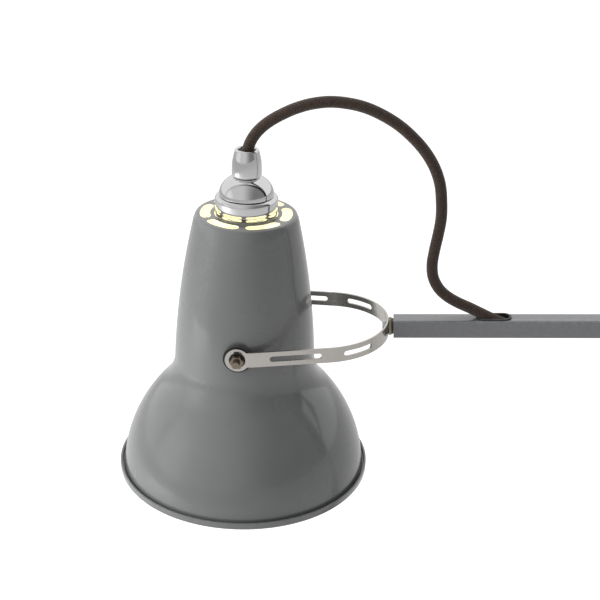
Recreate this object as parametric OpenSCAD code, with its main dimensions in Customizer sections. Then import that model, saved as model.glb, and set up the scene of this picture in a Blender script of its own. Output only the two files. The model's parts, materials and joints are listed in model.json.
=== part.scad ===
// Balanced-arm desk lamp: round weighted base, turning shoulder, two square arms kept level
// by a parallel rod and three springs, and a spun shade held in a strip fork.
// Millimetres, +Z up. The origin is the centre of the base's underside.
// The head is toward -X and the elbow toward +X.

/* [Base] */
// Diameter of the base
base_d = 180; // [150:1:230]
// Height of the base cover at its middle
base_h = 32; // [28:1:50]
// Height of the shoulder pivot above the table
shoulder_z = 92; // [88:1:120]

/* [Arms] */
// Width across the flats of the square arm tubes
arm_w = 11.1; // [9.6:0.1:15]
// Wall of the arm tubes
arm_wall = 1.2; // [0.9:0.1:1.4]
// Lower arm, pivot to pivot
lower_len = 330; // [240:1:420]
// Elbow pivot to shade pivot, along the upper arm
upper_len = 418; // [340:1:520]
// Lean of the lower arm away from the shade
lean = 23; // [0:1:45]
// Centre line of the upper arm above the elbow pivot
arm_rise = 16; // [15:0.5:24]
// Crank and tail length, pivot to rod pin
crank_len = 28; // [26:1:36]
// Diameter of the shoulder and elbow bolts
bolt_d = 8; // [6:0.5:9]
// Diameter of the rod pins
pin_d = 5; // [4:0.5:6]

/* [Springs] */
// Outside diameter of the springs
spring_d = 13; // [10:0.5:14]
// Height of the spring posts above the shoulder pivot
post_h = 34; // [30:1:45]
// Distance of the spring cross pin up the lower arm
cross_s = 160; // [130:1:200]
// Distance of the centre spring's anchor up the lower arm
anchor_s = 196; // [150:1:220]

/* [Shade] */
// Diameter over the rolled rim
rim_d = 152.2; // [140:0.2:190]
// Depth from the shade pivot down to the rim
rim_drop = 93; // [85:0.5:110]
// Diameter of the waist, where the flare starts
waist_d = 83; // [76:0.2:90]
// Diameter of the flat top
top_d = 58.8; // [54:0.2:66]
// Height of the flat top above the pivots
top_z = 71.8; // [64:0.2:90]
// Wall of the shade
shade_wall = 1; // [0.7:0.1:1.5]
// Tilt of the shade, top toward the arm
shade_lean = 3.3; // [0:0.1:12]

/* [Fork] */
// Reach of the fork from the pivots to its back
fork_reach = 84.9; // [76:0.1:110]
// Height of the fork strip
fork_h = 9; // [7:0.5:12]
// Thickness of the fork strip
fork_t = 1.2; // [1:0.1:2]
// Diameter of the shade pivot bolts
pivot_d = 4; // [3:0.5:5]

/* [Flex] */
// Diameter of the braided flex
flex_d = 6.5; // [5:0.1:7]

/* [Hidden] */
$fn = 64;
eps = 0.01;
play = 0.1;     // gap left beside a turning face
run = 0.05;     // radial clearance of a turning fit
washer_t = 1;   // fibre washers
plate_t = 2;    // crank and elbow plates
cheek_t = 2.5;
half_turn = 180;

// Stack of widths across the arms, from the middle outward
half_w = arm_w / 2;
knuckle_y = half_w - washer_t - play;
crank_y = half_w;
cheek_y = crank_y + plate_t + washer_t + 2 * play;
spring_y = cheek_y + cheek_t + spring_d / 2 + 2;
post_y = spring_y + 7;

// Places of the pivots
elbow = [lower_len * sin(lean), 0, shoulder_z + lower_len * cos(lean)];
head = [elbow[0] - upper_len, 0, elbow[2] + arm_rise];
tail_x = crank_len + 14;

// Base
pad_t = 3;
plate_z = pad_t;
bottom_t = 1.5;
weight_z = plate_z + bottom_t;
cover_wall = 1.5;
base_r = base_d / 2;
spindle_r = 8;
bush_r = 11;
turn_z = base_h + 1.2;
turn_t = 4;
turn_r = 32;
deck = turn_z + turn_t;

// Shade
rim_r = rim_d / 2;
waist_r = waist_d / 2;
waist_z = -15.5;
top_r = top_d / 2;
edge_r = 1.6;
hole_r = 18.2;
bulge = 2;       // how far the side stands out from a straight line
flare_r = 30;
bell_slope = 6;  // the bell's slope where it meets the lip
rim_h = 5.2;
lip_t = 1.2;       // the lip is turned out and up, a hair clear of the bell
lip_gap = 1.4;
lip_z = -rim_drop;

// The outline's three arcs: a long shallow side, a hollow flare and a round bell
function unit(v) = v / norm(v);
side_v = [waist_r - top_r, waist_z - top_z];
side_n = unit([side_v[1], -side_v[0]]);
side_r = side_v * side_v / 8 / bulge + bulge / 2;
side_c = [top_r, top_z] + side_v / 2 + (side_r - bulge) * side_n;
side_a = atan2(top_z - side_c[1], top_r - side_c[0]);
side_b = atan2(waist_z - side_c[1], waist_r - side_c[0]);
bell_end = [rim_r - lip_t - lip_gap - 0.2, lip_z + rim_h];
bell_u = [cos(bell_slope), sin(bell_slope)];
flare_c = [waist_r + flare_r, waist_z - 0.6];
flare_d = flare_c - bell_end;
bell_r = (flare_d * flare_d - flare_r * flare_r) / 2 / (flare_r - flare_d * bell_u);
bell_c = bell_end - bell_r * bell_u;
flare_a = atan2(flare_c[1] - bell_c[1], flare_c[0] - bell_c[0]);
pivot_r = side_c[0] + sqrt(side_r * side_r - side_c[1] * side_c[1]);

// Fork
eye_y = pivot_r + 3.9;
eye_r = 7;
eye_hole = 4.65;
fork_ro = 38.5;
boss_y = eye_y + 0.3;
stack_t = 2.8;
arm_front = fork_reach + stack_t;

// Head cap
grip_top = top_z + 38.1;
grip_h = 16;
dome_z = top_z + 11.1;
skirt_z = top_z + 2.4;
cap_r = 18;
dome_r = 15.6;

// Flex route past the shade pivot, as [x, z] in the plane of the arms
loop_pts = [[6, 104], [7, 110], [9.5, 115.5], [13.5, 120.5], [19, 125], [26, 129], [34, 132.5],
    [43, 135], [53, 136], [63, 135], [72.5, 132.5], [82, 128], [91, 122], [99, 114.5], [105.5, 106.5],
    [110.5, 97.5], [113.5, 88], [114.5, 78], [114.5, 68], [113, 58], [111, 48], [109.8, 39], [110.6, 31],
    [114, 24]];
entry_pts = [[114.06, 23.92], [119, 19], [125, 15.2], [131.5, 12], [138, 8.6], [145, 4.9], [151.5, 2.1], [158, 0.5],
    [166, 0], [175, 0]];
arm_flex_x = 175;
slot_x = 146;
slot_len = 19;

/* ---------- shared shapes ---------- */

// Points along an arc from angle a to angle b
function arc(c, r, a, b, n) = [for (i = [0:n]) let (t = a + (b - a) * i / n) [c[0] + r * cos(t), c[1] + r * sin(t)]];

// An open outline moved sideways by w, to its left
function shifted(p, w) = [for (i = [0:len(p) - 1])
    let (a = p[max(i - 1, 0)], b = p[min(i + 1, len(p) - 1)], d = unit(b - a)) p[i] + w * [-d[1], d[0]]];

// A closed wall of thickness w behind an open outline
function wall(p, w) = concat(p, [for (i = [len(p) - 1:-1:0]) shifted(p, w)[i]]);

function flip(p) = [for (i = [len(p) - 1:-1:0]) p[i]];

// The straight sides between two round ends of different sizes
module taper(a, ra, b, rb) {
    d = norm(b - a);
    dir = atan2(b[1] - a[1], b[0] - a[0]);
    t = acos((ra - rb) / d);
    polygon([a + ra * [cos(dir + t), sin(dir + t)], a + ra * [cos(dir - t), sin(dir - t)],
        b + rb * [cos(dir - t), sin(dir - t)], b + rb * [cos(dir + t), sin(dir + t)]]);
}

// A strap with round ends
module strap(a, ra, b, rb) {
    translate(a) circle(ra);
    translate(b) circle(rb);
    taper(a, ra, b, rb);
}

module rounded_square(w, r) {
    square([w - 2 * r, w], center = true);
    square([w, w - 2 * r], center = true);
    for (x = [-1, 1], y = [-1, 1]) translate([x, y] * (w / 2 - r)) circle(r, $fn = 24);
}

// A cylinder along Y from y0 to y1
module rod_y(r, y0, y1, fn = 48) {
    translate([0, y0, 0]) rotate([-90, 0, 0]) cylinder(r = r, h = y1 - y0, $fn = fn);
}

// A flat outline drawn in X and Z, from y0 to y1
module slab_y(y0, y1) {
    translate([0, y1, 0]) rotate([90, 0, 0]) linear_extrude(y1 - y0) children();
}

// A domed head on a cylinder's end, pointing +Z
module pan_head(r, h) {
    rotate_extrude($fn = 32) polygon(concat([[0, 0], [r, 0]], arc([r - h * 0.6, h * 0.4], h * 0.6, 0, 90, 4), [[0, h]]));
}

module mirrored_y() {
    children();
    mirror([0, 1, 0]) children();
}

// The arms' own frames
module on_lower() { translate([0, 0, shoulder_z]) rotate([0, lean, 0]) children(); }
module on_upper() { translate(elbow) children(); }
module on_head() { translate(head) children(); }
module on_shade() { translate(head) rotate([0, shade_lean, 0]) children(); }

// A tube swept along points in the X-Z plane
module flex_tube(pts, d, before, after, sides = 10) {
    n = len(pts);
    line = concat([before], pts, [after]);
    rings = [for (i = [1:n])
        let (t = unit(line[i + 1] - line[i - 1]), s = [-t[1], t[0]])
        for (k = [0:sides - 1]) let (a = 360 * k / sides)
            [line[i][0] + d / 2 * cos(a) * s[0], d / 2 * sin(a), line[i][1] + d / 2 * cos(a) * s[1]]];
    sides_f = [for (i = [0:n - 2], k = [0:sides - 1])
        let (a = i * sides + k, b = i * sides + (k + 1) % sides) [a, b, b + sides, a + sides]];
    polyhedron(rings, concat([[for (k = [sides - 1:-1:0]) k]], sides_f,
        [[for (k = [0:sides - 1]) (n - 1) * sides + k]]), convexity = 6);
}

/* ---------- base ---------- */

shoulder_arc = 8;
function cover_line() = concat([[base_r, plate_z], [base_r, base_h - 18]],
    arc([base_r - shoulder_arc, base_h - 18], shoulder_arc, 0, 78, 5), [[28, base_h], [bush_r, base_h]]);

module base_cover() {
    color("#6e6f70") rotate_extrude($fn = 128) polygon(wall(cover_line(), cover_wall));
}

weight_gap = 4.5;
module base_weight() {
    top = base_h - cover_wall - 1;
    color("#3a3b3d") difference() {
        rotate_extrude($fn = 96) polygon([[bush_r, weight_z], [base_r - weight_gap, weight_z],
            [base_r - weight_gap, base_h - 18], [base_r - weight_gap - 6, base_h - 13], [26, top], [bush_r, top]]);
        translate([0, 0, weight_z - eps]) cylinder(r = spindle_r + 8, h = 7 + eps);
        screw_places() translate([0, 0, -eps]) cylinder(r = 2.5, h = weight_z + 12, $fn = 24);
    }
}

module screw_places() {
    for (i = [0:2]) rotate(120 * i + 30) translate([base_r * 0.6, 0, 0]) children();
}

module base_plate() {
    color("#8b8d90") translate([0, 0, plate_z]) difference() {
        cylinder(r = base_r - cover_wall - 0.3, h = bottom_t, $fn = 96);
        translate([0, 0, -eps]) cylinder(r = spindle_r + 9, h = bottom_t + 1);
        screw_places() translate([0, 0, -eps]) cylinder(r = 2.5, h = bottom_t + 1, $fn = 24);
    }
}

module foot_pad() {
    color("#1c1c1d") difference() {
        cylinder(r = base_r - 1, h = pad_t, $fn = 96);
        screw_places() translate([0, 0, -eps]) cylinder(r = 6, h = pad_t + 1, $fn = 32);
    }
}

module base_screws() {
    color("#a9abad") screw_places() {
        translate([0, 0, plate_z]) cylinder(r = 2.5, h = bottom_t + 11, $fn = 24);
        translate([0, 0, plate_z]) mirror([0, 0, 1]) pan_head(4.6, 2.4);
    }
}

module swivel_bush() {
    color("#b08d57") difference() {
        union() {
            translate([0, 0, weight_z + 7]) cylinder(r = bush_r, h = base_h - weight_z - 7);
            translate([0, 0, base_h]) cylinder(r = 17, h = turn_z - base_h);
        }
        cylinder(r = spindle_r + run, h = deck);
    }
}

/* ---------- turntable ---------- */

module swivel_spindle() {
    color("#c3c5c7") difference() {
        translate([0, 0, weight_z + 1.5]) cylinder(r = spindle_r, h = deck - weight_z - 1.5);
        translate([0, 0, weight_z + 4.5]) difference() {
            cylinder(r = spindle_r + 1, h = 1.5);
            translate([0, 0, -eps]) cylinder(r = spindle_r - 1, h = 2);
        }
    }
}

module spindle_clip() {
    color("#7d7f82") translate([0, 0, weight_z + 4.5]) difference() {
        cylinder(r = spindle_r + 5, h = 1.5);
        translate([0, 0, -eps]) cylinder(r = spindle_r - 1, h = 2);
    }
}

module turntable_plate() {
    color("#6e6f70") translate([0, 0, turn_z]) difference() {
        union() {
            cylinder(r = turn_r, h = turn_t - 1, $fn = 96);
            cylinder(r = turn_r - 1, h = turn_t, $fn = 96);
        }
        translate([0, 0, -eps]) cylinder(r = spindle_r, h = turn_t + 1);
        flange_screws() translate([0, 0, -eps]) cylinder(r = 2, h = turn_t + 1, $fn = 24);
    }
}

flange_w = 13;
module flange_screws() {
    for (x = [-12, 12], y = [-1, 1]) translate([x, y * (cheek_y + cheek_t + 6.5), 0]) children();
}

// The cheek on the +Y side, with its foot turned outward
module cheek() {
    translate([0, 0, shoulder_z]) difference() {
        slab_y(cheek_y, cheek_y + cheek_t) {
            strap([0, 0], 13, [0, post_h], 7);
            polygon([[-20, deck - shoulder_z], [20, deck - shoulder_z], [13, 0], [-13, 0]]);
        }
        rod_y(bolt_d / 2, 0, 30);
        translate([0, 0, post_h]) rod_y(2.5, 0, 30, 32);
    }
    difference() {
        translate([-20, cheek_y + cheek_t, deck]) cube([40, flange_w, cheek_t]);
        flange_screws() cylinder(r = 2, h = 80, $fn = 24);
    }
}

module cheek_left() { color("#6e6f70") mirror([0, 1, 0]) cheek(); }
module cheek_right() { color("#6e6f70") cheek(); }

module cheek_screws() {
    color("#a9abad") flange_screws() {
        translate([0, 0, turn_z]) cylinder(r = 2, h = turn_t + cheek_t, $fn = 24);
        translate([0, 0, deck + cheek_t]) pan_head(3.6, 2.2);
    }
}

// A stub with a collar that keeps a spring's eye on it
module post(y0) {
    rod_y(3, y0, post_y - 2, 32);
    rod_y(4.6, post_y - 2, post_y, 32);
}

module spring_posts() {
    color("#a9abad") mirrored_y() translate([0, 0, shoulder_z + post_h]) {
        post(cheek_y + cheek_t);
        rod_y(2.5, cheek_y, cheek_y + cheek_t, 32);
    }
}

side_washer = 1.4;
stack_y = cheek_y + cheek_t + side_washer;

// A bolt along Y with a hexagon head toward -Y
module hex_bolt(r, y0, y1, across, head_t) {
    rod_y(r, y0, y1);
    rod_y(across / 2 / cos(30), y0 - head_t, y0, 6);
}

// A hexagon nut along Y, resting on y0
module hex_nut(r, y0, across, t) {
    difference() {
        rod_y(across / 2 / cos(30), y0, y0 + t, 6);
        rod_y(r, y0 - 1, y0 + t + 1);
    }
}

module shoulder_bolt() {
    color("#a9abad") translate([0, 0, shoulder_z])
        hex_bolt(bolt_d / 2, -stack_y, stack_y + 8, bolt_d * 1.6, bolt_d * 0.65);
}

module shoulder_nut() {
    color("#a9abad") translate([0, 0, shoulder_z]) hex_nut(bolt_d / 2, stack_y, bolt_d * 1.6, bolt_d * 0.8);
}

module ring_y(ro, ri, y0, y1) {
    difference() {
        rod_y(ro, y0, y1);
        rod_y(ri, y0 - 1, y1 + 1);
    }
}

module shoulder_washers() {
    color("#c3c5c7") mirrored_y() translate([0, 0, shoulder_z]) {
        ring_y(bolt_d, bolt_d / 2, cheek_y + cheek_t, stack_y);
        ring_y(bolt_d, bolt_d / 2, crank_y + plate_t + play, cheek_y);
    }
}

/* ---------- lower arm ---------- */

knuckle_r = 8;
neck_s = 16;     // the arm tube starts this far from each pivot
plug_len = 24;
rivet_s = neck_s + 12;
tube_in = arm_w - 2 * arm_wall;

module arm_tube(z0, z1) {
    translate([0, 0, z0]) linear_extrude(z1 - z0) difference() {
        rounded_square(arm_w, 1.2);
        square(tube_in, center = true);
    }
}

module rivet_holes() {
    for (s = [rivet_s, lower_len - rivet_s]) translate([0, 0, s]) rod_y(1.6, -20, 20, 24);
}

module lower_arm_tube() {
    color("#6e6f70") on_lower() difference() {
        arm_tube(neck_s, lower_len - neck_s);
        rivet_holes();
        translate([0, 0, cross_s]) rod_y(3, -20, 20, 32);
        for (s = [-6, 6]) translate([0, 0, anchor_s + s]) rotate([0, -90, 0]) cylinder(r = 1.5, h = 20, $fn = 24);
    }
}

// The eye at an arm's end, with a plug that fills the tube
module knuckle() {
    difference() {
        union() {
            rod_y(knuckle_r, -knuckle_y, knuckle_y);
            translate([-half_w, -knuckle_y, 0]) cube([arm_w, 2 * knuckle_y, neck_s]);
            translate([-tube_in / 2, -tube_in / 2, neck_s - 4]) cube([tube_in, tube_in, plug_len + 4]);
        }
        rod_y(bolt_d / 2 + run, -20, 20);
        translate([0, 0, rivet_s]) rod_y(1.6, -20, 20, 24);
    }
}

module shoulder_knuckle() { color("#8b8d90") on_lower() knuckle(); }
module elbow_knuckle() {
    color("#8b8d90") on_lower() translate([0, 0, lower_len]) mirror([0, 0, 1]) knuckle();
}

module fibre_washers() {
    color("#2a2a2b") on_lower() for (s = [0, lower_len]) translate([0, 0, s])
        mirrored_y() ring_y(bolt_d * 0.95, bolt_d / 2 + run, knuckle_y, knuckle_y + washer_t);
}

module lower_rivets() {
    color("#a9abad") on_lower() for (s = [rivet_s, lower_len - rivet_s]) translate([0, 0, s]) {
        rod_y(1.6, -half_w, half_w, 24);
        mirrored_y() translate([0, half_w, 0]) rotate([-90, 0, 0]) pan_head(2.8, 1.1);
    }
}

module cross_pin() {
    color("#a9abad") on_lower() translate([0, 0, cross_s]) {
        rod_y(3, -post_y + 2, post_y - 2, 32);
        mirrored_y() rod_y(4.6, post_y - 2, post_y, 32);
    }
}

anchor_x = half_w + 11;
module spring_anchor() {
    color("#8b8d90") on_lower() translate([0, 0, anchor_s]) {
        difference() {
            union() {
                translate([-half_w - 1.6, -4.5, -11]) cube([1.6, 9, 22]);
                slab_y(-1, 1) strap([-half_w - 1.6, 0], 5, [-anchor_x, 0], 4);
            }
            translate([-half_w, -20, -20]) cube(40);
            translate([-anchor_x, 0, 0]) rod_y(1.6, -9, 9, 24);
            for (s = [-7.8, 7.8]) translate([-half_w - 3, 0, s]) rotate([0, 90, 0]) cylinder(r = 1.2, h = 4, $fn = 24);
        }
    }
}

/* ---------- springs and rod ---------- */

// A spring's plain body between two eyes along +Z, with its hooks
module spring_body(len, hook, eye) {
    translate([0, 0, hook]) cylinder(r = spring_d / 2, h = len - 2 * hook);
    for (z = [eye + 1, len - hook - 1]) translate([0, 0, z]) cylinder(r = 0.9, h = hook - eye, $fn = 16);
    for (z = [0, len]) translate([0, 0, z]) ring_y(eye + 2, eye + 0.1, -1.2, 1.2);
}

pin_at = shoulder_z * [0, 1] + cross_s * [sin(lean), cos(lean)];
post_at = [0, shoulder_z + post_h];
side_len = norm(pin_at - post_at);
side_dir = atan2(pin_at[0] - post_at[0], pin_at[1] - post_at[1]);

module side_spring() {
    translate([post_at[0], spring_y, post_at[1]]) rotate([0, side_dir, 0]) spring_body(side_len, 15, 3);
}

module spring_left() { color("#b4b6b8") mirror([0, 1, 0]) side_spring(); }
module spring_right() { color("#b4b6b8") side_spring(); }

lever = 24;
lever_at = [-lever, shoulder_z];
anchor_at = shoulder_z * [0, 1] + anchor_s * [sin(lean), cos(lean)] - anchor_x * [cos(lean), -sin(lean)];
centre_len = norm(anchor_at - lever_at);
centre_dir = atan2(anchor_at[0] - lever_at[0], anchor_at[1] - lever_at[1]);
centre_d = 11;

module spring_centre() {
    color("#b4b6b8") translate([lever_at[0], 0, lever_at[1]]) rotate([0, centre_dir, 0]) {
        translate([0, 0, 18]) cylinder(r = centre_d / 2, h = centre_len - 36);
        translate([0, 0, pin_d / 2 + 1]) cylinder(r = 0.9, h = 18, $fn = 16);
        translate([0, 0, centre_len - 20]) cylinder(r = 0.7, h = 15, $fn = 16);
        ring_y(pin_d / 2 + 2, pin_d / 2 + 0.1, -1.2, 1.2);
    }
}

module crank_outline(hub, end) {
    front = acos((hub - end) / crank_len);
    rear = half_turn - acos((hub - end) / lever);
    polygon(concat(arc([crank_len, 0], end, -front, front, 16), arc([0, 0], hub, front, rear, 8),
        arc([-lever, 0], end, rear, 2 * half_turn - rear, 16), arc([0, 0], hub, 2 * half_turn - rear, 2 * half_turn - front, 8)));
}

module crank_plates() {
    color("#8b8d90") mirrored_y() translate([0, 0, shoulder_z]) difference() {
        slab_y(crank_y, crank_y + plate_t) crank_outline(9, 5.5);
        rod_y(bolt_d / 2 + run, 0, 30);
        for (x = [crank_len, -lever]) translate([x, 0, 0]) rod_y(pin_d / 2, 0, 30, 32);
    }
}

module crank_pins() {
    color("#a9abad") for (x = [crank_len, -lever]) translate([x, 0, shoulder_z])
        rod_y(pin_d / 2, -crank_y - plate_t, crank_y + plate_t, 32);
}

rod_r = 3;
eye_w = 4.4;
module link_rod() {
    color("#8b8d90") translate([crank_len, 0, 0]) on_lower()
        translate([0, 0, 5.3]) cylinder(r = rod_r, h = lower_len - 10.6, $fn = 32);
}

// The lower eye is the linkage's open pivot, so its bore is loose
module link_rod_eyes() {
    color("#a9abad") translate([crank_len, 0, 0]) on_lower() {
        for (s = [0, lower_len]) translate([0, 0, s]) difference() {
            rod_y(5.3, -eye_w, eye_w, 40);
            rod_y(pin_d / 2 + (s == 0 ? 0.3 : run), -9, 9, 32);
            translate([0, 0, s == 0 ? 5.3 : -5.3 - 20]) cylinder(r = rod_r, h = 20, $fn = 32);
            translate([0, 0, s == 0 ? 4.4 : -24.4]) cylinder(r = rod_r, h = 20, $fn = 32);
        }
    }
}

/* ---------- upper arm ---------- */

// The arm's tube runs along X; its frame here has X from the elbow pivot
module upper_arm_tube() {
    front = -upper_len + arm_front;
    color("#6e6f70") on_upper() translate([0, 0, arm_rise]) difference() {
        translate([front, 0, 0]) rotate([0, 90, 0]) arm_tube(0, tail_x - front);
        rivet_spots() rod_y(1.6, 0, 20, 24);
        translate([-upper_len + slot_x, 0, 0]) slot_cut(slot_len, 7.5, 20);
    }
}

// An upright cutter with round ends along X
module slot_cut(len, w, h) {
    for (x = [-1, 1]) translate([x * (len - w) / 2, 0, 0]) cylinder(r = w / 2, h = h, $fn = 32);
    translate([-(len - w) / 2, -w / 2, 0]) cube([len - w, w, h]);
}

plate_front = -25;
plate_rear = crank_len + 4;
module rivet_spots() {
    for (x = [-18, crank_len - 4], m = [0, 1]) mirror([0, m, 0]) translate([x, 0, 0]) children();
}

module elbow_plate() {
    difference() {
        slab_y(half_w, half_w + plate_t) {
            strap([0, 0], 9.5, [crank_len, 0], 6.5);
            strap([plate_front, arm_rise], 6.5, [plate_rear, arm_rise], 6.5);
            polygon([[plate_front + 1, arm_rise - 6.4], [-9, -3], [crank_len + 6.4, 1], [plate_rear + 6.4, arm_rise]]);
        }
        rod_y(bolt_d / 2, 0, 30);
        translate([crank_len, 0, 0]) rod_y(pin_d / 2, 0, 30, 32);
        translate([0, 0, arm_rise]) rivet_spots() rod_y(1.6, 0, 20, 24);
    }
}

module elbow_plate_left() { color("#6e6f70") on_upper() mirror([0, 1, 0]) elbow_plate(); }
module elbow_plate_right() { color("#6e6f70") on_upper() elbow_plate(); }

elbow_y = half_w + plate_t;
module elbow_bolt() {
    color("#a9abad") on_upper() hex_bolt(bolt_d / 2, -elbow_y, elbow_y + 9, bolt_d * 1.6, bolt_d * 0.65);
}

module elbow_nut() {
    color("#a9abad") on_upper() hex_nut(bolt_d / 2, elbow_y, bolt_d * 1.6, bolt_d * 0.8);
}

module tail_pin() {
    color("#a9abad") on_upper() translate([crank_len, 0, 0]) {
        rod_y(pin_d / 2, -elbow_y, elbow_y, 32);
        mirrored_y() translate([0, elbow_y, 0]) rotate([-90, 0, 0]) pan_head(4, 1.6);
    }
}

module plate_rivets() {
    color("#a9abad") on_upper() translate([0, 0, arm_rise]) rivet_spots() {
        rod_y(1.6, tube_in / 2, elbow_y, 24);
        translate([0, elbow_y, 0]) rotate([-90, 0, 0]) pan_head(3, 1.3);
    }
}

module tail_gland() {
    color("#232324") on_upper() translate([tail_x, 0, arm_rise]) rotate([0, 90, 0]) difference() {
        union() {
            translate([0, 0, -10]) linear_extrude(10) square(tube_in, center = true);
            linear_extrude(1.6) rounded_square(arm_w, 1.2);
            rotate_extrude($fn = 40) polygon(concat([[0, 1.6]], [[flex_d / 2 + 1.6, 1.6]],
                arc([flex_d / 2 + 0.4, 6.5], 1.2, 0, 90, 4), [[0, 7.7]]));
        }
        translate([0, 0, -11]) cylinder(r = flex_d / 2 + 0.1, h = 20, $fn = 32);
    }
}

module flex_grommet() {
    color("#1b1b1c") on_head() translate([slot_x, 0, 0]) difference() {
        union() {
            translate([0, 0, half_w]) slot_cut(slot_len + 1.6, 9.4, 0.9);
            translate([0, 0, half_w - arm_wall]) slot_cut(slot_len, 7.5, arm_wall);
        }
        translate([0, 0, half_w - 3]) slot_cut(slot_len - 1, 6.7, 9);
    }
}

module arm_flex() {
    color("#463a33") on_head() translate([arm_flex_x, 0, 0]) rotate([0, 90, 0])
        cylinder(r = flex_d / 2, h = upper_len - arm_flex_x + tail_x + 7.7, $fn = 32);
}

plug_l = 18;
module arm_end_plug() {
    color("#8b8d90") on_head() translate([arm_front, 0, 0]) rotate([0, 90, 0]) difference() {
        linear_extrude(plug_l) square(tube_in, center = true);
        translate([0, 0, -1]) cylinder(r = 2.5 + run, h = plug_l + 2, $fn = 32);
    }
}

/* ---------- fork ---------- */

// The straight legs leave the eyes and run tangent to the round back
leg_start = [8, eye_y];
fork_c = [fork_reach - fork_ro, 0];
leg_v = leg_start - fork_c;
leg_a = atan2(leg_v[1], leg_v[0]) - acos(fork_ro / norm(leg_v));
leg_end = fork_c + fork_ro * [cos(leg_a), sin(leg_a)];
leg_n = [cos(leg_a), sin(leg_a)];

// One side of the strip's centre plane, from the back to the eye, moved inward by w
function fork_side(w) = concat(arc(fork_c, fork_ro - w, 0, leg_a, 14), [leg_start - [0, w], [0, eye_y - w]]);

module fork_strip() {
    outer = fork_side(0);
    inner = fork_side(fork_t);
    translate([0, 0, -fork_h / 2]) linear_extrude(fork_h)
        polygon(concat(outer, flip(inner), [for (p = inner) [p[0], -p[1]]], flip([for (p = outer) [p[0], -p[1]]])));
}

slot_h = 3.2;
leg_slot = [[18.4, 29.4], [43.8, 66.9]];   // leg slot's start and length; back slot's two angles
module fork_band() {
    leg_dir = atan2(leg_end[1] - leg_start[1], leg_end[0] - leg_start[0]);
    color("#a29d97") on_head() difference() {
        union() {
            fork_strip();
            mirrored_y() rod_y(eye_r, eye_y - fork_t, eye_y);
        }
        mirrored_y() {
            rod_y(eye_hole, 0, eye_y + 5);
            translate([-1.4, 0, 0]) cube([2.8, eye_y + 5, 5.5]);
            // the long slot in the straight leg
            translate([leg_start[0], leg_start[1], 0]) rotate(leg_dir) translate([leg_slot[0][0] - 8, 0, 0]) {
                for (x = [slot_h / 2, leg_slot[0][1] - slot_h / 2]) translate([x, 0, 0]) rod_y(slot_h / 2, -6, 6, 32);
                translate([slot_h / 2, -6, -slot_h / 2]) cube([leg_slot[0][1] - slot_h, 12, slot_h]);
            }
            // the short slot round the back, its ends cut as twelve-sided prisms
            translate([fork_c[0], 0, 0]) {
                for (a = leg_slot[1]) rotate(a) translate([fork_ro - 5, 0, 0]) rotate([0, 90, 0]) rotate(15)
                    cylinder(r = slot_h / 2 / cos(15), h = 10, $fn = 12);
                translate([0, 0, -slot_h / 2]) linear_extrude(slot_h)
                    polygon([[0, 0], for (a = [leg_slot[1][0], 55, leg_slot[1][1]]) 60 * [cos(a), sin(a)]]);
            }
        }
        rotate([0, 90, 0]) cylinder(r = 2.5, h = 200, $fn = 32);
    }
}

stud_head = 2;
module fork_stud() {
    color("#a9abad") on_head() rotate([0, 90, 0]) {
        translate([0, 0, fork_reach - fork_t]) cylinder(r = 2.5, h = stack_t + plug_l + 5, $fn = 32);
        translate([0, 0, fork_reach - fork_t - stud_head - 0.5]) cylinder(r = 4, h = stud_head, $fn = 32);
        translate([0, 0, fork_reach - fork_t - 0.6]) cylinder(r = 2.5, h = 0.7, $fn = 32);
        translate([0, 0, arm_front + plug_l + play]) cylinder(r = 3.9, h = 3, $fn = 32);
    }
}

module ring_x(x, h, ro, ri) {
    translate([x, 0, 0]) rotate([0, 90, 0]) difference() {
        cylinder(r = ro, h = h, $fn = 48);
        translate([0, 0, -1]) cylinder(r = ri, h = h + 2, $fn = 32);
    }
}

module fork_washer() { color("#a9abad") on_head() ring_x(fork_reach, 1.7, 5.3, 2.5); }
module fork_spacer() {
    color("#1b1b1c") on_head() ring_x(fork_reach + 1.7, stack_t - 1.7 - run, half_w - 0.85, 2.5);
}

wall_gap = 0.9;
module pivot_bushes() {
    color("#1b1b1c") on_head() mirrored_y() difference() {
        union() {
            rod_y(8.3, pivot_r + wall_gap, eye_y - fork_t);
            rod_y(eye_hole, eye_y - fork_t, boss_y);
            translate([-1.4, eye_y - fork_t, 0]) cube([2.8, fork_t + 0.3, 5.5]);
        }
        rod_y(pivot_d / 2 + run, 0, 80, 32);
    }
}

/* ---------- shade ---------- */

function shade_line() = concat([[hole_r, top_z], [top_r - edge_r, top_z]],
    arc([top_r - edge_r, top_z - edge_r], edge_r, 68, side_a, 3),
    [for (i = [1:7]) side_c + side_r * [cos(side_a + (side_b - side_a) * i / 7), sin(side_a + (side_b - side_a) * i / 7)]],
    arc(flare_c, flare_r, half_turn, half_turn + flare_a, 6), [for (i = [1:8]) let (t = flare_a + (bell_slope - flare_a) * i / 8)
        bell_c + bell_r * [cos(t), sin(t)]], [[bell_end[0] + 0.2, lip_z + lip_t]]);

// The spun wall ends in a lip turned out and up
module shade_body() {
    lip_in = rim_r - lip_t;
    lip = concat([[lip_in, lip_z + lip_t], [lip_in, lip_z + rim_h - lip_t / 2]],
        arc([rim_r - lip_t / 2, lip_z + rim_h - lip_t / 2], lip_t / 2, 150, 0, 5),
        arc([rim_r - 0.6, lip_z + 0.6], 0.6, 0, -90, 3), [[bell_end[0] - shade_wall + 0.6, lip_z]]);
    rotate_extrude($fn = 128) polygon(concat(shade_line(), lip, flip(shifted(shade_line(), -shade_wall))));
}

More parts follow.
